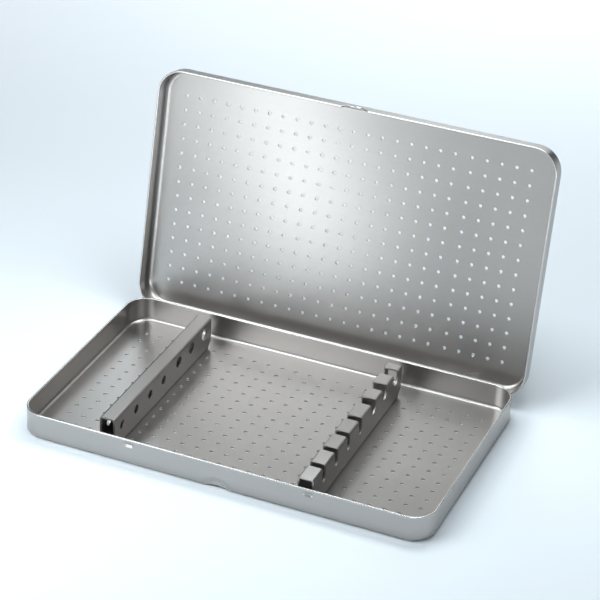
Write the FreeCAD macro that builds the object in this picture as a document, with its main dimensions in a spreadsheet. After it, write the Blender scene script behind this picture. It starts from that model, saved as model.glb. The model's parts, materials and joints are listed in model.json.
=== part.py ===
import FreeCAD, Part
import Sketcher
from FreeCAD import Placement, Rotation, Vector

import os

# Hinged, perforated sheet-steel case for dental hand instruments.
# Frame: origin at the centre of the tray's underside, +X along the long side,
# +Y towards the hinge, +Z up.  The lid is modelled shut and stored open.
# All sizes are millimetres and degrees.

SIZES = {
    "sheet_thick": 0.8,
    "tray_length": 180.0,
    "tray_depth": 107.4,
    "tray_height": 12.0,
    "tray_corner": 9.8,
    "tray_bend": 2.2,
    "lid_length": 182.5,
    "lid_depth": 109.9,
    "lid_height": 8.8,
    "lid_corner": 11.0,
    "lid_bend": 2.8,
    "lid_rim_level": 7.2,
    "lid_shift_back": 0.1,
    "lid_open_angle": 101.9,
    "hole_size": 1.55,
    "hole_pitch": 6.565,
    "hole_rows": 14,
    "tray_hole_columns": 25,
    "tray_hole_first_x": -78.5,
    "tray_hole_first_y": -44.05,
    "lid_hole_left_columns": 20,
    "lid_hole_right_columns": 5,
    "lid_hole_right_step": 7.6,
    "lid_hole_first_x": -80.43,
    "lid_hole_first_y": -42.6,
    "thumb_notch_radius": 6.5,
    "thumb_notch_drop": 2.5,
    "scoop_radius": 12.8,
    "scoop_forward": 11.25,
    "scoop_below": 1.0,
    "dent_spacing": 78.6,
    "dent_level": 9.5,
    "dent_length": 4.8,
    "dent_height": 1.9,
    "dent_depth": 0.45,
    "rack_width": 6.9,
    "rack_height": 14.2,
    "rack_bend": 1.1,
    "rack_end_cut": 3.5,
    "handle_rack_x": -52.25,
    "handle_rack_front": -47.2,
    "slot_rack_x": 37.35,
    "slot_rack_front": -51.3,
    "rack_back": 45.0,
    "station_pitch": 12.8,
    "small_station_first": -40.4,
    "small_station_count": 4,
    "large_station_first": 12.5,
    "large_station_count": 3,
    "small_hole_size": 4.0,
    "large_hole_size": 5.2,
    "small_hole_level": 9.1,
    "large_hole_level": 10.0,
    "small_slot_width": 3.1,
    "large_slot_width": 5.2,
    "small_slot_floor": 7.8,
    "large_slot_floor": 9.2,
    "hinge_spacing": 110.0,
    "hinge_length": 25.0,
    "hinge_y": 54.7,
    "hinge_z": 5.7,
    "leaf_thick": 0.5,
    "knuckle_size": 1.9,
    "knuckle_gap": 0.2,
    "pin_size": 0.9,
    "pin_play": 0.1,
    "tray_leaf_height": 3.3,
    "lid_leaf_height": 5.8,
    "stop_length": 4.8,
    "stop_width": 6.0,
    "stop_drop": 1.88,
    "cut_margin": 1.0,
}

# An odd number, so that the tray leaf holds both ends of the pin.
KNUCKLES = 5

# Two levels closer than this are the same level.
TOUCH = 0.01

STATIONS = ("small", "large")


def make_sheet(doc):
    sheet = doc.addObject("Spreadsheet::Sheet", "Dims")
    for row, (name, value) in enumerate(SIZES.items(), start=1):
        sheet.set("A%d" % row, name)
        sheet.set("B%d" % row, str(value))
        sheet.setAlias("B%d" % row, name)
    doc.recompute()


def dims(formula):
    """Turn the size names in a formula into references to the sheet."""
    return " ".join("Dims." + word if word in SIZES else word for word in formula.split())


def value_of(item, formula):
    return float(item.evalExpression(dims(formula)))


def bind(item, **formulas):
    for prop, formula in formulas.items():
        item.setExpression(prop, dims(formula))


def new_body(doc, name):
    body = doc.addObject("PartDesign::Body", name)
    body.Label = name
    return body


# Sketches

def new_sketch(body, name, role, lift=None):
    """A sketch on one of the body's origin planes, lifted along its normal."""
    sketch = body.newObject("Sketcher::SketchObject", name)
    plane = next(item for item in body.Origin.OriginFeatures if item.Role == role)
    sketch.AttachmentSupport = [(plane, "")]
    sketch.MapMode = "FlatFace"
    if lift:
        sketch.setExpression("AttachmentOffset.Base.z", dims(lift))
    return sketch


def add_size(sketch, formula, kind, *where):
    """A distance, radius or diameter that follows the sheet."""
    constraint = Sketcher.Constraint(kind, *where, value_of(sketch, formula))
    index = sketch.addConstraint(constraint)
    sketch.setExpression("Constraints[%d]" % index, dims(formula))


def draw_polygon(sketch, points):
    """Straight lines round a list of (across, up) formulas, each from the origin."""
    places = [Vector(value_of(sketch, across), value_of(sketch, up)) for across, up in points]
    first = sketch.GeometryCount
    count = len(places)
    for index in range(count):
        line = Part.LineSegment(places[index], places[(index + 1) % count])
        sketch.addGeometry(line)
    for index, (across, up) in enumerate(points):
        line, before = first + index, first + (index - 1) % count
        sketch.addConstraint(Sketcher.Constraint("Coincident", before, 2, line, 1))
        add_size(sketch, across, "DistanceX", -1, 1, line, 1)
        add_size(sketch, up, "DistanceY", -1, 1, line, 1)


def draw_rectangle(sketch, left, right, low, high):
    draw_polygon(sketch, [(left, low), (right, low), (right, high), (left, high)])


def draw_circle(sketch, across, up, diameter):
    centre = Vector(value_of(sketch, across), value_of(sketch, up))
    circle = Part.Circle(centre, Vector(0, 0, 1), value_of(sketch, diameter) / 2)
    index = sketch.addGeometry(circle)
    add_size(sketch, across, "DistanceX", -1, 1, index, 3)
    add_size(sketch, up, "DistanceY", -1, 1, index, 3)
    add_size(sketch, diameter, "Diameter", index)


def draw_slot(sketch, across, up, length, height):
    """A round-ended slot lying along the sketch's first axis."""
    middle = Vector(value_of(sketch, across), value_of(sketch, up))
    round_end = value_of(sketch, height + " / 2")
    reach = value_of(sketch, length + " / 2 - " + height + " / 2")
    side, rise = Vector(reach, 0), Vector(0, round_end)
    far, near = middle + side, middle - side
    first = sketch.GeometryCount
    sketch.addGeometry(Part.LineSegment(near - rise, far - rise))
    sketch.addGeometry(Part.Arc(far - rise, far + Vector(round_end, 0), far + rise))
    sketch.addGeometry(Part.LineSegment(far + rise, near + rise))
    sketch.addGeometry(Part.Arc(near + rise, near - Vector(round_end, 0), near - rise))
    for line, arc in ((first, first + 1), (first + 2, first + 3)):
        sketch.addConstraint(Sketcher.Constraint("Tangent", line, 2, arc, 1))
        sketch.addConstraint(Sketcher.Constraint("Horizontal", line))
    for line, arc in ((first, first + 3), (first + 2, first + 1)):
        sketch.addConstraint(Sketcher.Constraint("Tangent", line, 1, arc, 2))
    add_size(sketch, height + " / 2", "Radius", first + 1)
    for arc, sign in ((first + 1, "+"), (first + 3, "-")):
        end = "%s %s ( %s - %s ) / 2" % (across, sign, length, height)
        add_size(sketch, end, "DistanceX", -1, 1, arc, 3)
    add_size(sketch, up, "DistanceY", -1, 1, first + 1, 3)


# Features

def pad(body, name, sketch, length, midplane=False, backwards=False):
    feature = body.newObject("PartDesign::Pad", name)
    feature.Profile = sketch
    feature.SideType = "Symmetric" if midplane else "One side"
    feature.Reversed = backwards
    bind(feature, Length=length)
    body.Document.recompute()
    return feature


def pocket(body, name, sketch, length, midplane=False, backwards=False):
    """Cut a sketch's shape out of the body, and make sure that it did cut."""
    before = body.Shape.Volume
    feature = body.newObject("PartDesign::Pocket", name)
    feature.Profile = sketch
    feature.SideType = "Symmetric" if midplane else "One side"
    feature.Reversed = backwards
    bind(feature, Length=length)
    body.Document.recompute()
    if not body.Shape.Volume < before:
        raise RuntimeError(name + " cuts nothing")
    return feature


def repeat(body, name, cut, sketch, across, across_step, up="1", up_step="0"):
    """Repeat a cut along the first axis of its sketch, and along the second."""
    pattern = body.newObject("PartDesign::LinearPattern", name)
    pattern.Originals = [cut]
    pattern.Direction = (sketch, ["H_Axis"])
    pattern.Direction2 = (sketch, ["V_Axis"])
    pattern.Mode = "Extent"
    pattern.Mode2 = "Extent"
    bind(pattern, Occurrences=across, Length="( %s - 1 ) * %s" % (across, across_step))
    if up != "1":
        bind(pattern, Occurrences2=up, Length2="( %s - 1 ) * %s" % (up, up_step))
    body.Tip = pattern
    body.Document.recompute()


def edges_where(shape, test):
    """Names of the edges whose two ends and middle all pass a test."""
    names = []
    for number, edge in enumerate(shape.Edges, start=1):
        middle = edge.valueAt((edge.FirstParameter + edge.LastParameter) / 2)
        if all(test(point) for point in [middle] + [v.Point for v in edge.Vertexes]):
            names.append("Edge%d" % number)
    return names


def upright_edges(shape):
    names = []
    for number, edge in enumerate(shape.Edges, start=1):
        run = edge.tangentAt(edge.FirstParameter)
        if abs(run.z) > 1 - TOUCH and edge.Curve.TypeId == "Part::GeomLine":
            names.append("Edge%d" % number)
    return names


def fillet(body, name, base, edges, radius):
    feature = body.newObject("PartDesign::Fillet", name)
    feature.Base = (base, edges)
    bind(feature, Radius=radius)
    body.Document.recompute()
    return feature


def draw_into_shell(body, name, base, open_level):
    """Leave a sheet's thickness behind every face but the open one."""
    faces = base.Shape.Faces
    opening = next(number for number, face in enumerate(faces, start=1)
                   if face.BoundBox.ZLength < TOUCH and abs(face.BoundBox.ZMin - open_level) < TOUCH)
    feature = body.newObject("PartDesign::Thickness", name)
    feature.Base = (base, ["Face%d" % opening])
    feature.Reversed = True
    feature.Join = 0
    bind(feature, Value="sheet_thick")
    body.Document.recompute()
    return feature


def block(body, name, length, depth, height, lift=None, shift="0"):
    """A block with its own middle on the frame's Z axis, moved back by shift."""
    sketch = new_sketch(body, name + "_outline", "XY_Plane", lift)
    half_x, half_y = length + " / 2", depth + " / 2"
    draw_rectangle(sketch, "0 - " + half_x, half_x, shift + " - " + half_y, shift + " + " + half_y)
    return pad(body, name, sketch, height)


def perforate(body, name, first_x, first_y, columns, rows, lift):
    """A grid of small round holes through the sheet on either side of a level."""
    sketch = new_sketch(body, name + "_first", "XY_Plane", lift)
    draw_circle(sketch, first_x, first_y, "hole_size")
    cut = pocket(body, name + "_cut", sketch, "sheet_thick + 2 * cut_margin", midplane=True)
    repeat(body, name, cut, sketch, columns, "hole_pitch", rows, "hole_pitch")


# Tray

def rounded_block(body, name, length, depth, height, corner, bend, low):
    """An upright block with round corners and a round edge at its low end."""
    solid = block(body, name, length, depth, height, low)
    corners = fillet(body, name + "_corners", solid, upright_edges(solid.Shape), corner)
    level = value_of(body, low)
    edges = edges_where(corners.Shape, lambda point: abs(point.z - level) < TOUCH)
    return fillet(body, name + "_bends", corners, edges, bend)


def cut_scoop(body, name, radius):
    """Take a ball out of the lower front edge."""
    scoop = body.newObject("PartDesign::SubtractiveSphere", name)
    bind(scoop, Radius=radius)
    scoop.setExpression("Placement.Base.y", dims("0 - tray_depth / 2 - scoop_forward"))
    scoop.setExpression("Placement.Base.z", dims("0 - scoop_below"))
    body.Document.recompute()


def cut_dents(body, name, face, length, height):
    """Two short round-ended dents, sunk into a front face from outside."""
    for side, sign in (("left", "-"), ("right", "+")):
        sketch = new_sketch(body, name + "_" + side + "_outline", "XZ_Plane", face)
        draw_slot(sketch, "0 %s dent_spacing / 2" % sign, "dent_level", length, height)
        pocket(body, name + "_" + side, sketch, "dent_depth")


def make_tray_cavity(doc):
    """The space inside the tray, which follows the scoop and the dents."""
    body = new_body(doc, "tray_cavity")
    rounded_block(body, "cavity_block", "( tray_length - 2 * sheet_thick )",
                  "( tray_depth - 2 * sheet_thick )", "tray_height",
                  "tray_corner - sheet_thick", "tray_bend - sheet_thick", "sheet_thick")
    cut_scoop(body, "scoop_inside", "scoop_radius + sheet_thick")
    cut_dents(body, "dent_inside", "tray_depth / 2 - sheet_thick",
              "( dent_length + sheet_thick )", "( dent_height + sheet_thick )")
    return body


def make_tray(doc):
    """Drawn tray with a thumb scoop and two snap dents in its front wall."""
    cavity = make_tray_cavity(doc)
    body = new_body(doc, "base_tray")
    rounded_block(body, "tray_block", "tray_length", "tray_depth", "tray_height",
                  "tray_corner", "tray_bend", "0")
    cut_scoop(body, "thumb_scoop", "scoop_radius")
    cut_dents(body, "dent", "tray_depth / 2", "dent_length", "dent_height")
    hollow = body.newObject("PartDesign::Boolean", "tray_hollow")
    hollow.Type = "Cut"
    hollow.addObject(cavity)
    doc.recompute()
    perforate(body, "tray_holes", "tray_hole_first_x", "tray_hole_first_y",
              "tray_hole_columns", "hole_rows", "sheet_thick / 2")
    return body


# Lid

def make_lid(doc):
    """Drawn lid that closes over the tray, with a thumb notch in its front rim."""
    body = new_body(doc, "lid")
    solid = block(body, "lid_block", "lid_length", "lid_depth", "lid_height",
                  "lid_rim_level", "lid_shift_back")
    corners = fillet(body, "lid_corners", solid, upright_edges(solid.Shape), "lid_corner")
    top = SIZES["lid_rim_level"] + SIZES["lid_height"]
    high = edges_where(corners.Shape, lambda point: abs(point.z - top) < TOUCH)
    bend = fillet(body, "lid_bends", corners, high, "lid_bend")
    draw_into_shell(body, "lid_shell", bend, SIZES["lid_rim_level"])
    notch = new_sketch(body, "thumb_notch_outline", "XZ_Plane", "lid_depth / 2")
    draw_circle(notch, "0", "lid_rim_level - thumb_notch_drop", "thumb_notch_radius * 2")
    pocket(body, "thumb_notch", notch, "sheet_thick + 2 * cut_margin", midplane=True)
    level = "lid_rim_level + lid_height - sheet_thick / 2"
    perforate(body, "lid_holes_left", "lid_hole_first_x", "lid_hole_first_y",
              "lid_hole_left_columns", "hole_rows", level)
    right_first = ("lid_hole_first_x + ( lid_hole_left_columns - 1 ) * hole_pitch"
                   " + lid_hole_right_step")
    perforate(body, "lid_holes_right", right_first, "lid_hole_first_y",
              "lid_hole_right_columns", "hole_rows", level)
    body.Placement = opened()
    return body


def opened():
    """The turn about the hinge axis that takes a shut lid to its stored pose."""
    axis_point = Vector(0, SIZES["hinge_y"], SIZES["hinge_z"])
    turn = Rotation(Vector(1, 0, 0), -SIZES["lid_open_angle"])
    return Placement(Vector(), turn, axis_point)


# Racks

def make_channel(body, across, front):
    """A folded channel, open below, with its back lower corner cut away."""
    outline = new_sketch(body, "channel_end", "XZ_Plane", "0 - rack_back")
    left, right = across + " - rack_width / 2", across + " + rack_width / 2"
    draw_rectangle(outline, left, right, "sheet_thick", "sheet_thick + rack_height")
    solid = pad(body, "channel_block", outline, "rack_back - " + front)
    top = SIZES["sheet_thick"] + SIZES["rack_height"]

    def runs_along_top(point):
        return abs(point.z - top) < TOUCH

    long_edges = [name for name in edges_where(solid.Shape, runs_along_top)
                  if solid.Shape.getElement(name).BoundBox.YLength > TOUCH]
    fillet(body, "channel_bends", solid, long_edges, "rack_bend")
    hollow = new_sketch(body, "channel_inside", "XZ_Plane", "0 - rack_back")
    draw_rectangle(hollow, left + " + sheet_thick", right + " - sheet_thick",
                   "0", "rack_height")
    pocket(body, "channel_hollow", hollow, "rack_back - " + front, backwards=True)
    corner = new_sketch(body, "back_corner", "YZ_Plane", across)
    draw_polygon(corner, [("rack_back - rack_end_cut", "sheet_thick"),
                          ("rack_back + cut_margin", "sheet_thick"),
                          ("rack_back + cut_margin", "sheet_thick + rack_end_cut"),
                          ("rack_back", "sheet_thick + rack_end_cut")])
    pocket(body, "back_corner_cut", corner, "rack_width + cut_margin", midplane=True)


def make_handle_rack(doc):
    """Channel drilled across so that instrument handles pass through both sides."""
    body = new_body(doc, "handle_rack")
    make_channel(body, "handle_rack_x", "handle_rack_front")
    for kind in STATIONS:
        sketch = new_sketch(body, kind + "_hole_outline", "YZ_Plane", "handle_rack_x")
        draw_circle(sketch, kind + "_station_first", kind + "_hole_level", kind + "_hole_size")
        cut = pocket(body, kind + "_hole", sketch, "rack_width + cut_margin", midplane=True)
        repeat(body, kind + "_holes", cut, sketch, kind + "_station_count", "station_pitch")
    return body


def make_slot_rack(doc):
    """Channel notched from above into blocks, with a round-bottomed slot between."""
    body = new_body(doc, "slot_rack")
    make_channel(body, "slot_rack_x", "slot_rack_front")
    for kind in STATIONS:
        sketch = new_sketch(body, kind + "_slot_outline", "YZ_Plane", "slot_rack_x")
        draw_notch(sketch, kind + "_station_first", kind + "_slot_floor", kind + "_slot_width")
        cut = pocket(body, kind + "_slot", sketch, "rack_width + cut_margin", midplane=True)
        repeat(body, kind + "_slots", cut, sketch, kind + "_station_count", "station_pitch")
    return body


def draw_notch(sketch, across, floor, width):
    """A notch open at the top of the rack, with a half-round floor."""
    half_width = width + " / 2"
    level = floor + " + " + half_width
    over_top = "rack_height + sheet_thick + cut_margin"
    half = value_of(sketch, half_width)
    middle = Vector(value_of(sketch, across), value_of(sketch, level))
    mouth = Vector(0, value_of(sketch, over_top) - middle.y)
    side = Vector(half, 0)
    sketch.addGeometry(Part.Arc(middle - side, middle - Vector(0, half), middle + side))
    sketch.addGeometry(Part.LineSegment(middle + side, middle + side + mouth))
    sketch.addGeometry(Part.LineSegment(middle + side + mouth, middle - side + mouth))
    sketch.addGeometry(Part.LineSegment(middle - side + mouth, middle - side))
    arc, right, top, left = range(4)
    sketch.addConstraint(Sketcher.Constraint("Tangent", arc, 2, right, 1))
    sketch.addConstraint(Sketcher.Constraint("Tangent", left, 2, arc, 1))
    sketch.addConstraint(Sketcher.Constraint("Coincident", right, 2, top, 1))
    sketch.addConstraint(Sketcher.Constraint("Coincident", top, 2, left, 1))
    sketch.addConstraint(Sketcher.Constraint("Vertical", right))
    sketch.addConstraint(Sketcher.Constraint("Vertical", left))
    sketch.addConstraint(Sketcher.Constraint("Horizontal", top))
    add_size(sketch, half_width, "Radius", arc)
    add_size(sketch, across, "DistanceX", -1, 1, arc, 3)
    add_size(sketch, level, "DistanceY", -1, 1, arc, 3)
    add_size(sketch, over_top, "DistanceY", -1, 1, right, 2)


# Hinges, each modelled about the middle of its own pin

def new_box(doc, name, left, length, front, depth, low, height):
    box = doc.addObject("Part::Box", name)
    bind(box, Length=length, Width=depth, Height=height)
    for letter, formula in zip("xyz", (left, front, low)):
        box.setExpression("Placement.Base." + letter, dims(formula))
    return box


def new_rod(doc, name, left, length, diameter):
    """A round rod along X, centred on the hinge axis."""
    rod = doc.addObject("Part::Cylinder", name)
    rod.Placement = Placement(Vector(), Rotation(Vector(0, 1, 0), 90))
    bind(rod, Radius=diameter + " / 2", Height=length)
    rod.setExpression("Placement.Base.x", dims(left))
    return rod


def knuckle_span(number):
    """Left end and length of one of the equal knuckles along a hinge."""
    pitch = "hinge_length / %d" % KNUCKLES
    left = "0 - hinge_length / 2 + %d * %s + knuckle_gap / 2" % (number, pitch)
    return left, pitch + " - knuckle_gap"


def make_leaf(doc, name, numbers, plates, tab_front, tab_low, tab_height, bore):
    """Flat plates with tabs rolled into every other knuckle, and the pin's hole."""
    pieces = list(plates)
    for number in numbers:
        left, length = knuckle_span(number)
        label = "%s_tab_%d" % (name, number)
        pieces.append(new_box(doc, label, left, length, tab_front, "leaf_thick",
                              tab_low, tab_height))
        pieces.append(new_rod(doc, "%s_roll_%d" % (name, number), left, length, "knuckle_size"))
    joined = doc.addObject("Part::MultiFuse", name + "_sheet")
    joined.Shapes = pieces
    hole = new_rod(doc, name + "_bore", "0 - hinge_length", "hinge_length * 2", bore)
    leaf = doc.addObject("Part::Cut", name)
    leaf.Base, leaf.Tool = joined, hole
    leaf.Label = name
    return leaf


def make_tray_leaf(doc, side):
    """Leaf on the back wall, with the bent tongue that the open lid rests on."""
    name = "tray_hinge_leaf_" + side
    front = "tray_depth / 2 - hinge_y"
    low = "0 - tray_leaf_height - knuckle_size / 2 - knuckle_gap"
    plate = new_box(doc, name + "_plate", "0 - hinge_length / 2", "hinge_length",
                    front, "leaf_thick", low, "tray_leaf_height")
    tongue = new_box(doc, name + "_stop", "0 - stop_width / 2", "stop_width", front,
                     "leaf_thick + stop_length", "0 - stop_drop - leaf_thick", "leaf_thick")
    return make_leaf(doc, name, range(0, KNUCKLES, 2), [plate, tongue], front,
                     low, "0 - ( " + low + " )", "pin_size")


def make_lid_leaf(doc, side):
    """Leaf on the lid's back wall, drawn as it lies when the lid is shut."""
    name = "lid_hinge_leaf_" + side
    front = "lid_depth / 2 + lid_shift_back - hinge_y"
    low = "lid_rim_level - hinge_z"
    plate = new_box(doc, name + "_plate", "0 - hinge_length / 2", "hinge_length",
                    front, "leaf_thick", low, "lid_leaf_height")
    return make_leaf(doc, name, range(1, KNUCKLES, 2), [plate], front,
                     "0", low + " + leaf_thick", "pin_size + pin_play")


def make_hinges(doc):
    pieces = []
    for side, sign in (("left", -1), ("right", 1)):
        across = sign * SIZES["hinge_spacing"] / 2
        place = Placement(Vector(across, SIZES["hinge_y"], SIZES["hinge_z"]), Rotation())
        tray_leaf = make_tray_leaf(doc, side)
        tray_leaf.Placement = place
        lid_leaf = make_lid_leaf(doc, side)
        lid_leaf.Placement = opened() * place
        pin = new_rod(doc, "hinge_pin_" + side, "0 - hinge_length / 2", "hinge_length",
                      "pin_size")
        pin.setExpression("Placement.Base.x",
                          dims("%d * hinge_spacing / 2 - hinge_length / 2" % sign))
        pin.setExpression("Placement.Base.y", dims("hinge_y"))
        pin.setExpression("Placement.Base.z", dims("hinge_z"))
        pieces += [tray_leaf, lid_leaf, pin]
    return pieces


# Whole case

def check(doc, parts):
    """Stop unless every feature built and every part is one sound solid."""
    for item in doc.Objects:
        if "Invalid" in item.State or "Error" in item.State:
            raise RuntimeError(item.Label + " failed to build")
    for part in parts:
        if part.Shape.isNull() or not part.Shape.isValid():
            raise RuntimeError(part.Label + " has no sound shape")
        if len(part.Shape.Solids) != 1:
            raise RuntimeError(part.Label + " is not one solid")


def main():
    doc = FreeCAD.newDocument("instrument_case")
    make_sheet(doc)
    parts = [make_tray(doc), make_lid(doc), make_handle_rack(doc), make_slot_rack(doc)]
    parts += make_hinges(doc)
    doc.recompute()
    check(doc, parts)
    os.makedirs("parts", exist_ok=True)
    for part in parts:
        part.Shape.exportStep("parts/%s.step" % part.Label)


main()
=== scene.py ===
import json
import math

import bmesh
import bpy
from mathutils import Matrix, Vector
from mathutils.geometry import delaunay_2d_cdt


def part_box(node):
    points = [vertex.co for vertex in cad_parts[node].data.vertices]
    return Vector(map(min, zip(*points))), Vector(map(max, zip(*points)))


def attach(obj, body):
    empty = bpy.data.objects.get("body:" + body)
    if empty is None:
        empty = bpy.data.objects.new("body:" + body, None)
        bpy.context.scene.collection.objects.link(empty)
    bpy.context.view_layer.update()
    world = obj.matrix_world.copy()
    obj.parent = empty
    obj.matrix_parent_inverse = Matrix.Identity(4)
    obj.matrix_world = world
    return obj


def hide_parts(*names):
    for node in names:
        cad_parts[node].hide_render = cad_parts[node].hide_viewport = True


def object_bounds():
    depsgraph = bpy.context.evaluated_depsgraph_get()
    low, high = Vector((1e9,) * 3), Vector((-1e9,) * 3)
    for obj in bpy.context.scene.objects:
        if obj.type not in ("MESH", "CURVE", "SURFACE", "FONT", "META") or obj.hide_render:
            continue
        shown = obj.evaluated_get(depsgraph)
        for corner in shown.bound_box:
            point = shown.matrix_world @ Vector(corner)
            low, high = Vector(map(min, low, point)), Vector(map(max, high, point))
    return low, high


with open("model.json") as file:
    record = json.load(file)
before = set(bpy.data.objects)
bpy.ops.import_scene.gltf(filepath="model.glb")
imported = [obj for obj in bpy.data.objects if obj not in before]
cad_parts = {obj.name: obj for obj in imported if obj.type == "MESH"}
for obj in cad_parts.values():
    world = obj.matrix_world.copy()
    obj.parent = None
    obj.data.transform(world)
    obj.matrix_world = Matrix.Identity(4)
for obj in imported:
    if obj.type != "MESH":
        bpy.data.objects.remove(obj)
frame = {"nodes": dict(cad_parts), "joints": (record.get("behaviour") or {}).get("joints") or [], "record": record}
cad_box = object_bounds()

# A hinged, perforated steel instrument case, standing open on a pale floor.
# Lengths are metres.  MM turns a size in millimetres into metres.

MM = 0.001
SHEET = 0.8 * MM
HOLE_RADIUS = 0.775 * MM
HOLE_PITCH = 6.565 * MM
STEEL_TINT = (1.0, 0.955, 0.92)
LIGHT_TINT = (0.89, 0.96, 1.0)
PAPER_TINT = (0.80, 0.845, 0.88)


# Places that come from the frame

def closing_turn():
    """The turn about the hinge that shuts the lid from its stored, open pose."""
    joint = frame["joints"][0]
    pivot = Vector(joint["pos_m"])
    angle = math.radians(joint["range_deg"][1])
    turn = Matrix.Rotation(angle, 4, Vector(joint["axis"]))
    return Matrix.Translation(pivot) @ turn @ Matrix.Translation(-pivot)


def box_when_shut(node):
    """Lowest and highest corner of a lid node with the lid shut."""
    turn = closing_turn()
    points = [turn @ vertex.co for vertex in frame["nodes"][node].data.vertices]
    low = Vector(min(point[i] for point in points) for i in range(3))
    high = Vector(max(point[i] for point in points) for i in range(3))
    return low, high


# Materials

def add_node(tree, kind, **settings):
    """A node with its properties set, and its inputs set by their names."""
    node = tree.nodes.new(kind)
    for name, value in settings.items():
        if hasattr(node, name):
            setattr(node, name, value)
        else:
            node.inputs[name.replace("_", " ")].default_value = value
    return node


def noise(tree, place, scale, detail, stretch=(1, 1, 1)):
    """Noise over the object's own coordinates, drawn out along its axes."""
    mapping = add_node(tree, "ShaderNodeMapping", Scale=stretch)
    tree.links.new(place, mapping.inputs["Vector"])
    texture = add_node(tree, "ShaderNodeTexNoise", Scale=scale, Detail=detail)
    tree.links.new(mapping.outputs["Vector"], texture.inputs["Vector"])
    return texture.outputs["Fac"]


def ramp(tree, value, low, high):
    """Map a 0 to 1 value onto a range."""
    node = add_node(tree, "ShaderNodeMapRange", To_Min=low, To_Max=high)
    tree.links.new(value, node.inputs["Value"])
    return node.outputs["Result"]


def combine(tree, kind, first, second):
    """One step of arithmetic on sockets, plain numbers or both."""
    node = add_node(tree, "ShaderNodeMath", operation=kind)
    for socket, value in zip(node.inputs, (first, second)):
        if isinstance(value, (int, float)):
            socket.default_value = value
        else:
            tree.links.new(value, socket)
    return node.outputs["Value"]


def satin_steel(name, grey, rough, grain_along, grain=0.05, foot_shade_height=None):
    """Stainless sheet with a fine grain, faint clouding, bright worn edges, painted highlights in pressed places
    and painted shade in holes.

    The mesh says how worn or painted-highlighted and how shaded each place is.  Below a foot
    height the piece is also darkened by a painted contact shadow, where it meets the tray.
    """
    material = bpy.data.materials.new(name)
    material.use_nodes = True
    tree = material.node_tree
    shader = tree.nodes["Principled BSDF"]
    shader.inputs["Metallic"].default_value = 1.0
    place = add_node(tree, "ShaderNodeTexCoord").outputs["Object"]
    cloud = noise(tree, place, 28.0, 3.0)
    fine = noise(tree, place, 900.0, 4.0)
    streak = noise(tree, place, 1500.0, 2.0, grain_along)

    wear_and_highlight = add_node(tree, "ShaderNodeAttribute", attribute_name="wear_and_highlight").outputs["Fac"]
    shade = combine(tree, "MULTIPLY", ramp(tree, cloud, 0.95, 1.05), ramp(tree, streak, 0.975, 1.025))
    # Worn rims and edges are brightened; pressed places get the same brightening as a painted highlight.
    shade = combine(tree, "MULTIPLY", shade, ramp(tree, wear_and_highlight, 1.0, 1.35))
    # Painted shade: hole walls are darkened to stand for the shade inside the holes.
    hole_shade = add_node(tree, "ShaderNodeAttribute", attribute_name="hole_shade").outputs["Fac"]
    shade = combine(tree, "MULTIPLY", shade, ramp(tree, hole_shade, 1.0, 0.65))
    # Painted contact shadow: darker towards the piece's foot, where it meets the tray.
    if foot_shade_height:
        split = add_node(tree, "ShaderNodeSeparateXYZ")
        tree.links.new(place, split.inputs["Vector"])
        foot_contact_shade = add_node(tree, "ShaderNodeMapRange", interpolation_type="SMOOTHSTEP",
                        From_Min=SHEET, From_Max=foot_shade_height, To_Min=0.35, To_Max=1.0)
        tree.links.new(split.outputs["Z"], foot_contact_shade.inputs["Value"])
        shade = combine(tree, "MULTIPLY", shade, foot_contact_shade.outputs["Result"])
    tint = add_node(tree, "ShaderNodeVectorMath", operation="SCALE")
    tint.inputs[0].default_value = [grey * channel for channel in STEEL_TINT]
    tree.links.new(shade, tint.inputs["Scale"])
    tree.links.new(tint.outputs["Vector"], shader.inputs["Base Color"])

    wear = combine(tree, "ADD", ramp(tree, cloud, -0.03, 0.03), ramp(tree, fine, -0.03, 0.03))
    wear = combine(tree, "ADD", wear, ramp(tree, wear_and_highlight, 0.0, -0.06))
    wear = combine(tree, "ADD", wear, rough)
    tree.links.new(wear, shader.inputs["Roughness"])

    height = combine(tree, "ADD", combine(tree, "MULTIPLY", streak, 0.6),
                     combine(tree, "MULTIPLY", fine, 0.4))
    bump = add_node(tree, "ShaderNodeBump", Strength=grain, Distance=0.05 * MM)
    tree.links.new(height, bump.inputs["Height"])
    tree.links.new(bump.outputs["Normal"], shader.inputs["Normal"])
    return material


# The paper glows past the first distance (m) and is at its full strength by the second.
GLOW_START = 0.12
GLOW_FULL = 0.8
GLOW_STRENGTH = 0.7


def floor_paint(name, colour):
    """Matt pale paper with the faintest mottle, glowing softly away from the object."""
    material = bpy.data.materials.new(name)
    material.use_nodes = True
    tree = material.node_tree
    shader = tree.nodes["Principled BSDF"]
    shader.inputs["Roughness"].default_value = 1.0
    shader.inputs["Specular IOR Level"].default_value = 0.0
    place = add_node(tree, "ShaderNodeTexCoord").outputs["Object"]
    mottle = ramp(tree, noise(tree, place, 6.0, 2.0), 0.995, 1.005)
    tint = add_node(tree, "ShaderNodeVectorMath", operation="SCALE")
    tint.inputs[0].default_value = colour
    tree.links.new(mottle, tint.inputs["Scale"])
    tree.links.new(tint.outputs["Vector"], shader.inputs["Base Color"])
    away = add_node(tree, "ShaderNodeVectorMath", operation="LENGTH")
    tree.links.new(place, away.inputs[0])
    glow = add_node(tree, "ShaderNodeMapRange", interpolation_type="SMOOTHSTEP",
                    From_Min=GLOW_START, From_Max=GLOW_FULL, To_Min=0.0, To_Max=GLOW_STRENGTH)
    tree.links.new(away.outputs["Value"], glow.inputs["Value"])
    tree.links.new(glow.outputs["Result"], shader.inputs["Emission Strength"])
    shader.inputs["Emission Color"].default_value = (*colour, 1)
    return material


# Drawn shells

ARC_STEPS = 14
BEND_STEPS = 8
RIM_STEPS = 3
HOLE_STEPS = 20
RIM_ROUND = 0.28 * MM
HOLE_LIP = 0.09 * MM
SHARP_ANGLE = math.radians(32)

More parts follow.
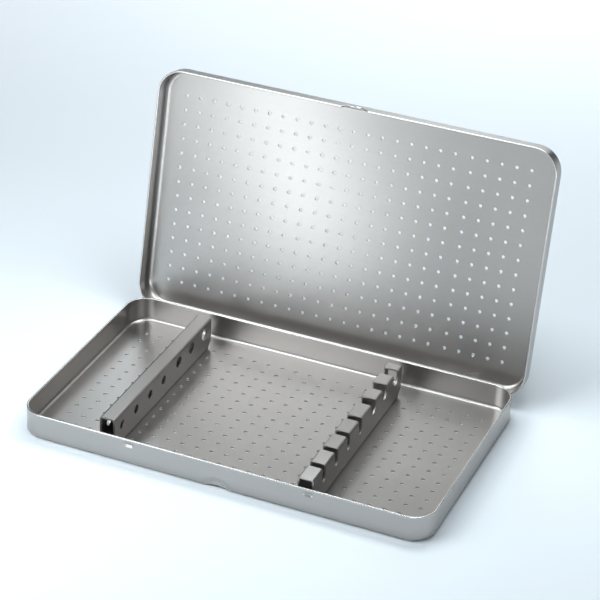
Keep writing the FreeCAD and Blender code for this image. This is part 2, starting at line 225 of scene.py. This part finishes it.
# A pressed place this deep gets a painted highlight as bright as a worn rim.
PRESS_FOR_FULL_HIGHLIGHT = 1.5 * MM


def spaced(start, end, step):
    """Evenly spaced places from start up to, but not at, end."""
    count = max(1, round((end - start) / step))
    return [start + (end - start) * i / count for i in range(count)]


def side_places(half, fine_zones, coarse=6 * MM):
    """Places along a straight side, close together inside the fine zones."""
    places, reach = [], -half
    for start, end, step in fine_zones:
        places += spaced(reach, start, coarse) + spaced(start, end, step)
        reach = end
    return places + spaced(reach, half, coarse) + [half]


class Shell:
    """A drawn sheet shell about the Z axis, standing on its panel and open upwards."""

    def __init__(self, low, high, corner, bend, zones, levels, press, rim_drop):
        self.half_x = (high.x - low.x) / 2
        self.half_y = (high.y - low.y) / 2
        self.height = high.z - low.z
        self.corner, self.bend = corner, bend
        self.press, self.rim_drop = press, rim_drop
        self.levels = levels
        self.front = side_places(self.half_x - corner, zones)
        self.side = side_places(self.half_y - corner, [])

    def ring(self, inset):
        """Points round the shell at one inset from its outer walls, front side first."""
        radius = self.corner - inset
        across, back = self.half_x - self.corner, self.half_y - self.corner
        points = [(x, -back - radius) for x in self.front]
        points += self.arc(across, -back, radius, -90)
        points += [(across + radius, y) for y in self.side]
        points += self.arc(across, back, radius, 0)
        points += [(-x, back + radius) for x in self.front]
        points += self.arc(-across, back, radius, 90)
        points += [(-across - radius, -y) for y in self.side]
        points += self.arc(-across, -back, radius, 180)
        return points

    @staticmethod
    def arc(x, y, radius, start):
        """The points of one corner between its two ends, counter-clockwise."""
        angles = [math.radians(start + 90 * i / ARC_STEPS) for i in range(1, ARC_STEPS)]
        return [(x + radius * math.cos(a), y + radius * math.sin(a)) for a in angles]

    def profile(self):
        """(inset, height, edge) from the panel's outer face, over the rim, to its inner face."""
        inner_bend = self.bend - SHEET
        rim = RIM_ROUND
        out = [(self.bend - self.bend * math.sin(a), self.bend - self.bend * math.cos(a), 0.0)
               for a in self.quarter(BEND_STEPS)]
        out += [(0.0, z, 0.0) for z in self.levels if self.bend < z < self.height - 2 * rim]
        top = self.height - rim
        out += [(rim - rim * math.cos(a), top + rim * math.sin(a), 1.0) for a in self.quarter(RIM_STEPS)]
        out += [(SHEET - rim + rim * math.sin(a), top + rim * math.cos(a), 1.0)
                for a in self.quarter(RIM_STEPS)]
        out += [(SHEET, z, 0.0) for z in reversed(self.levels) if self.bend < z < self.height - 2 * rim]
        out += [(self.bend - inner_bend * math.cos(a), self.bend - inner_bend * math.sin(a), 0.0)
                for a in self.quarter(BEND_STEPS)]
        return out

    @staticmethod
    def quarter(steps):
        """The angles of a quarter turn, both ends included."""
        return [math.pi / 2 * i / steps for i in range(steps + 1)]

    def place(self, x, y, z):
        """Where a shell point goes once the rim's notch and the pressed shapes are made."""
        if z > self.bend:
            share = (z - self.bend) / (self.height - self.bend)
            z -= share * self.rim_drop(x, y)
        return Vector((x, y + self.press(x, y, z), z))

    def build(self, name, holes, hole_shade_amount):
        """The whole shell as a mesh, with round holes through its panel whose walls are darkened with painted
        shade.
        """
        mesh = bmesh.new()
        wear_and_highlight = mesh.verts.layers.float.new("wear_and_highlight")
        hole_shade = mesh.verts.layers.float.new("hole_shade")
        rings = []
        for inset, z, sharp in self.profile():
            ring = []
            for x, y in self.ring(inset):
                vertex = mesh.verts.new(self.place(x, y, z))
                # Pressed places are brightened by how far they are pushed in: a painted highlight, on the same
                # attribute as the rim wear.
                press_highlight = (vertex.co.y - y) / PRESS_FOR_FULL_HIGHLIGHT
                vertex[wear_and_highlight] = max(sharp, min(1.0, press_highlight))
                ring.append(vertex)
            rings.append(ring)
        for lower, upper in zip(rings, rings[1:]):
            bridge(mesh, lower, upper)
        outer_holes = perforate(mesh, rings[0], holes, 0.0, SHEET, True)
        inner_holes = perforate(mesh, rings[-1], holes, SHEET, -SHEET, False)
        # Painted shade on the hole walls.
        for wall in outer_holes + inner_holes:
            for vertex in wall:
                vertex[hole_shade] = hole_shade_amount
        for lower, upper in zip(outer_holes, inner_holes):
            bridge(mesh, upper, lower)
        bmesh.ops.recalc_face_normals(mesh, faces=mesh.faces)
        data = bpy.data.meshes.new(name)
        mesh.to_mesh(data)
        mesh.free()
        return data


def bridge(mesh, lower, upper):
    """Join two closed rings of as many vertices with a band of faces."""
    count = len(lower)
    for i in range(count):
        j = (i + 1) % count
        mesh.faces.new((lower[i], lower[j], upper[j], upper[i]))


def perforate(mesh, border, holes, level, depth, flip):
    """Fill a panel inside its border, leaving holes with a small broken edge."""
    radius, lip = HOLE_RADIUS, HOLE_LIP
    turns = [2 * math.pi * i / HOLE_STEPS for i in range(HOLE_STEPS)]
    places = [vertex.co.xy for vertex in border]
    loops = [list(range(len(places)))]
    mouths, walls = [], []
    for x, y in holes:
        start = len(places)
        mouth = []
        for turn in turns:
            spot = Vector((x + (radius + lip) * math.cos(turn), y + (radius + lip) * math.sin(turn)))
            places.append(spot)
            mouth.append(mesh.verts.new((spot.x, spot.y, level)))
        wall = [mesh.verts.new((x + radius * math.cos(turn), y + radius * math.sin(turn),
                                level + math.copysign(lip, depth))) for turn in turns]
        loops.append(list(range(start, start + HOLE_STEPS)))
        mouths.append(mouth)
        walls.append(wall)
    vertices = list(border) + [vertex for mouth in mouths for vertex in mouth]
    links = [(loop[i], loop[(i + 1) % len(loop)]) for loop in loops for i in range(len(loop))]
    found = delaunay_2d_cdt(places, links, [], 0, 1e-9)
    centres = [Vector(hole) for hole in holes]
    # A triangle inside a mouth has its middle nearer than this to the mouth's centre.
    reach = (radius + lip) * 0.999
    lookup = [sources[0] for sources in found[3]]
    for face in found[2]:
        spots = [found[0][i] for i in face]
        middle = sum(spots, Vector((0, 0))) / len(spots)
        if any((middle - centre).length < reach for centre in near(centres, middle)):
            continue
        corners = [vertices[lookup[i]] for i in face]
        mesh.faces.new(reversed(corners) if flip else corners)
    for mouth, wall in zip(mouths, walls):
        bridge(mesh, mouth, wall)
    return walls


def near(centres, spot, reach=4 * MM):
    """The centres within a small square round a spot, so that few distances are measured."""
    return [c for c in centres if abs(c.x - spot.x) < reach and abs(c.y - spot.y) < reach]


def soft_max(first, second, blend):
    """The larger of two values, eased from one to the other where they meet."""
    return (first + second + math.sqrt((first - second) ** 2 + blend ** 2)) / 2


def finish_piece(name, data, material, slot, *nodes):
    """Turn a mesh into a piece that stands for CAD nodes and rides on their body."""
    data.materials.append(material)
    data.polygons.foreach_set("use_smooth", [True] * len(data.polygons))
    data.set_sharp_from_angle(angle=SHARP_ANGLE)
    piece = bpy.data.objects.new(name, data)
    bpy.context.scene.collection.objects.link(piece)
    shading = piece.modifiers.new("even_shading", "WEIGHTED_NORMAL")
    shading.keep_sharp = True
    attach(piece, body_names[nodes[0]])
    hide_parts(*nodes)


def hole_grid(first_x, first_y, columns, rows):
    """The centres of a block of holes, column by column."""
    return [(first_x + HOLE_PITCH * i, first_y + HOLE_PITCH * j)
            for i in range(columns) for j in range(rows)]


# Tray

# The tray's hole walls are darkened by painted shade at this level; the lid's are not.
TRAY = {"corner": 9.8 * MM, "bend": 2.2 * MM, "first_x": -78.5 * MM, "first_y": -44.05 * MM,
        "columns": 25, "rows": 14, "hole_shade_level": 0.5}
# The scoop is pressed by a ball; each dent is a short bar with round ends.
SCOOP = {"radius": 12.8 * MM, "forward": 11.25 * MM, "below": 1.0 * MM, "lip": 0.3 * MM}
DENT = {"across": 39.3 * MM, "level": 9.5 * MM, "half": 1.3 * MM, "reach": 1.3 * MM, "depth": 0.5 * MM}


# Nothing further behind the front wall than this is pressed.
PRESS_REACH = 4 * MM


def tray_press(front):
    """How far the tray's front wall is pushed back, by its scoop and its two dents."""
    def press(x, y, z):
        behind = y - front
        if behind > PRESS_REACH:
            return 0.0
        ball = SCOOP["radius"] + (SHEET if behind > SHEET / 2 and z > SHEET / 2 else 0.0)
        inside = ball ** 2 - x ** 2 - (z + SCOOP["below"]) ** 2
        push = 0.0
        if inside > 0:
            surface = math.sqrt(inside) - SCOOP["forward"]
            push = soft_max(behind, surface, SCOOP["lip"]) - soft_max(behind, -SHEET, SCOOP["lip"])
        along = max(0.0, abs(abs(x) - DENT["across"]) - DENT["half"])
        away = math.hypot(along, z - DENT["level"]) / DENT["reach"]
        if away < 1:
            push += DENT["depth"] * (0.5 + 0.5 * math.cos(math.pi * away))
        return max(0.0, push)
    return press


def make_tray(material):
    """The tray's shell, with finer mesh round the scoop and the dents."""
    low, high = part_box("base_tray")
    dent_zones = [(sign * DENT["across"] - 3 * MM, sign * DENT["across"] + 3 * MM, 0.25 * MM)
                  for sign in (-1, 1)]
    scoop_zone = (-7.5 * MM, 7.5 * MM, 0.4 * MM)
    zones = [dent_zones[0], scoop_zone, dent_zones[1]]
    levels = spaced(TRAY["bend"], 5.6 * MM, 0.35 * MM) + spaced(5.6 * MM, 8 * MM, 0.8 * MM)
    levels += spaced(8 * MM, 11.4 * MM, 0.22 * MM)
    shell = Shell(low, high, TRAY["corner"], TRAY["bend"], zones, levels, tray_press(low.y),
                  lambda x, y: 0.0)
    holes = hole_grid(TRAY["first_x"], TRAY["first_y"], TRAY["columns"], TRAY["rows"])
    data = shell.build("base_tray_shell", holes, TRAY["hole_shade_level"])
    data.transform(Matrix.Translation(((low.x + high.x) / 2, (low.y + high.y) / 2, low.z)))
    finish_piece("tray_shell", data, material, "tray_steel", "base_tray")


# Lid

# The hole pattern has two blocks of columns with a wider gap between them.
LID = {"corner": 11.0 * MM, "bend": 2.8 * MM, "first_x": -80.43 * MM, "first_y": -42.6 * MM,
       "left_columns": 20, "right_columns": 5, "rows": 14, "gap": 7.6 * MM, "hole_shade_level": 0.0}
NOTCH = {"radius": 6.5 * MM, "outside": 2.5 * MM, "lip": 0.2 * MM}


def notch_drop(x, y):
    """How far the thumb notch lowers the front rim."""
    inside = NOTCH["radius"] ** 2 - x ** 2
    if y > 0 or inside <= 0:
        return 0.0
    level = math.sqrt(inside) - NOTCH["outside"]
    return max(0.0, soft_max(level, 0.0, NOTCH["lip"]) - NOTCH["lip"] / 2)


def make_lid(material):
    """The lid, built upside down, turned over, set on the tray and swung open."""
    low, high = box_when_shut("lid")
    notch_zone = (-6.8 * MM, 6.8 * MM, 0.2 * MM)
    levels = spaced(LID["bend"], 8.6 * MM, 0.45 * MM)
    shell = Shell(low, high, LID["corner"], LID["bend"], [notch_zone], levels,
                  lambda x, y, z: 0.0, notch_drop)
    centre_y = (low.y + high.y) / 2
    first_y = LID["first_y"] - centre_y
    left = hole_grid(LID["first_x"], first_y, LID["left_columns"], LID["rows"])
    right_x = LID["first_x"] + (LID["left_columns"] - 1) * HOLE_PITCH + LID["gap"]
    right = hole_grid(right_x, first_y, LID["right_columns"], LID["rows"])
    holes = [(-x, y) for x, y in left + right]
    data = shell.build("lid_shell", holes, LID["hole_shade_level"])
    turned = Matrix.Rotation(math.pi, 4, "Y")
    set_down = Matrix.Translation((0, centre_y, high.z))
    data.transform(closing_turn().inverted() @ set_down @ turned)
    finish_piece("lid_shell", data, material, "lid_steel", "lid")


# The racks are their CAD shape with its sharp edges broken; the hinges keep the CAD mesh itself

RACK_EDGE = 0.14 * MM
RACK_EDGE_WEAR = 0.7


def soften(node, name, material, slot):
    """A copy of a CAD node whose sharp edges are rounded over."""
    data = frame["nodes"][node].data.copy()
    data.materials.clear()
    mesh = bmesh.new()
    mesh.from_mesh(data)
    wear_and_highlight = mesh.verts.layers.float.new("wear_and_highlight")
    bmesh.ops.remove_doubles(mesh, verts=mesh.verts, dist=0.001 * MM)
    bmesh.ops.dissolve_limit(mesh, angle_limit=math.radians(0.5), verts=mesh.verts, edges=mesh.edges)
    sharp = [e for e in mesh.edges if len(e.link_faces) == 2 and e.calc_face_angle() > math.radians(35)]
    made = bmesh.ops.bevel(mesh, geom=sharp, offset=RACK_EDGE, segments=2, profile=0.5, affect="EDGES",
                           clamp_overlap=True)
    for vertex in made["verts"]:
        vertex[wear_and_highlight] = RACK_EDGE_WEAR
    clean = bpy.data.meshes.new(name)
    mesh.to_mesh(clean)
    mesh.free()
    bpy.data.meshes.remove(data)
    finish_piece(name, clean, material, slot, node)


def dress_node(node, material):
    """Give a CAD node a better material."""
    frame["nodes"][node].data.materials[0] = material


# Studio

FLOOR_REACH = 6.0
FLOOR_GAP = 0.02 * MM
ROOM_GLOW = 0.03

CAMERA = {"azimuth": 22.1, "elevation": 29.9, "roll": 2.4, "lens": 139.3,
          "distance": 0.972, "right": 0.0101, "up": 0.0523}


def make_camera():
    """Long lens, looking down from the front right."""
    azimuth, elevation = math.radians(CAMERA["azimuth"]), math.radians(CAMERA["elevation"])
    roll = math.radians(CAMERA["roll"])
    back = Vector((math.sin(azimuth) * math.cos(elevation),
                   -math.cos(azimuth) * math.cos(elevation), math.sin(elevation)))
    level = Vector((math.cos(azimuth), math.sin(azimuth), 0))
    upward = back.cross(level)
    right = level * math.cos(roll) + upward * math.sin(roll)
    up = upward * math.cos(roll) - level * math.sin(roll)
    data = bpy.data.cameras.new("camera")
    data.lens = CAMERA["lens"]
    data.sensor_width = 36
    camera = bpy.data.objects.new("camera", data)
    camera.matrix_world = Matrix((right, up, back)).transposed().to_4x4()
    camera.location = back * CAMERA["distance"] + level * CAMERA["right"] + upward * CAMERA["up"]
    bpy.context.scene.collection.objects.link(camera)
    bpy.context.scene.camera = camera


def make_light(name, target, azimuth, elevation, distance, size, power, spin=0):
    """A soft rectangular light, aimed at a target from a bearing round it."""
    bearing, height = math.radians(azimuth), math.radians(elevation)
    away = Vector((math.sin(bearing) * math.cos(height),
                   -math.cos(bearing) * math.cos(height), math.sin(height)))
    data = bpy.data.lights.new(name, "AREA")
    data.shape = "RECTANGLE"
    data.size, data.size_y = size
    data.energy = power
    data.color = LIGHT_TINT
    light = bpy.data.objects.new(name, data)
    light.location = Vector(target) + away * distance
    aim = away.to_track_quat("Z", "Y").to_matrix() @ Matrix.Rotation(math.radians(spin), 3, "Z")
    light.rotation_euler = aim.to_euler()
    light.visible_camera = False
    bpy.context.scene.collection.objects.link(light)


# Each light: name, target, bearing and height (degrees), distance and size (m), power (W), spin.
MIDDLE = (0, 0.02, 0.05)
LIGHTS = [
    ("right_front", MIDDLE, 20, 5, 1.0, (0.56, 0.2), 2.0),
    ("left_front", MIDDLE, -40, 5, 1.0, (0.50, 0.2), 0.5),
    ("back", MIDDLE, 180, 30, 0.6, (0.36, 0.30), 1.00),
    ("back_left", MIDDLE, -160, 30, 0.6, (0.34, 0.30), 0.70),
    ("high_left", (0, 0.06, 0.01), -31, 42, 0.36, (0.2, 0.2), 0.60),
    ("high_right", MIDDLE, 50, 42, 0.6, (0.30, 0.30), 0.35),
    ("over_right", (0.14, -0.10, 0), 0, 90, 0.36, (0.16, 0.16), 0.2),
    ("over_back", (0.04, 0.06, 0), 0, 90, 0.26, (0.16, 0.10), 0.4),
    ("over_back_left", (-0.12, 0.04, 0), 0, 90, 0.26, (0.12, 0.10), 0.10),
    ("strip", (-0.13, 0, 0.06), 0, 0, 0.21, (0.13, 0.04), 0.09, -60),
    ("strip_right", (0, 0, 0.06), 0, 0, 0.29, (0.20, 0.05), 0.02, -60),
    ("front_fill", (0, 0, 0), -50, 42, 2.6, (2.8, 2.0), 13),
]


def make_studio():
    """The floor, just under the case so that the two don't share a plane, the lights and the room."""
    floor = bpy.data.meshes.new("floor")
    reach = FLOOR_REACH
    floor.from_pydata([(-reach, -reach, 0), (reach, -reach, 0), (reach, reach, 0), (-reach, reach, 0)],
                      [], [(0, 1, 2, 3)])
    floor.materials.append(floor_paint("pale_paper", PAPER_TINT))
    stage = bpy.data.objects.new("floor", floor)
    stage.location.z = cad_box[0].z - FLOOR_GAP
    bpy.context.scene.collection.objects.link(stage)
    for settings in LIGHTS:
        make_light(*settings)
    world = bpy.data.worlds.new("studio")
    bpy.context.scene.world = world
    world.use_nodes = True
    sky = world.node_tree.nodes["Background"]
    sky.inputs["Color"].default_value = (0.84, 0.945, 1.0, 1)
    sky.inputs["Strength"].default_value = ROOM_GLOW
    bpy.context.scene.view_settings.view_transform = "Standard"


body_names = {node: body for body, nodes in frame["record"]["behaviour"]["bodies"].items()
              for node in nodes}
sheet_steel = satin_steel("satin_sheet", 0.42, 0.30, (0.03, 1.0, 1.0))
# The racks darken towards their foot as a painted contact shadow.
rack_steel = satin_steel("satin_rack", 0.32, 0.44, (1.0, 0.03, 1.0), 0.02, foot_shade_height=2.3 * MM)
hinge_steel = satin_steel("satin_hinge", 0.44, 0.32, (0.03, 1.0, 1.0))
wire_steel = satin_steel("drawn_wire", 0.50, 0.25, (0.02, 1.0, 1.0))

make_camera()
make_tray(sheet_steel)
make_lid(sheet_steel)
for rack in ("handle_rack", "slot_rack"):
    soften(rack, rack + "_channel", rack_steel, "rack_steel")
for side in ("left", "right"):
    for leaf in ("tray_hinge_leaf_", "lid_hinge_leaf_"):
        dress_node(leaf + side, hinge_steel)
    dress_node("hinge_pin_" + side, wire_steel)
make_studio()
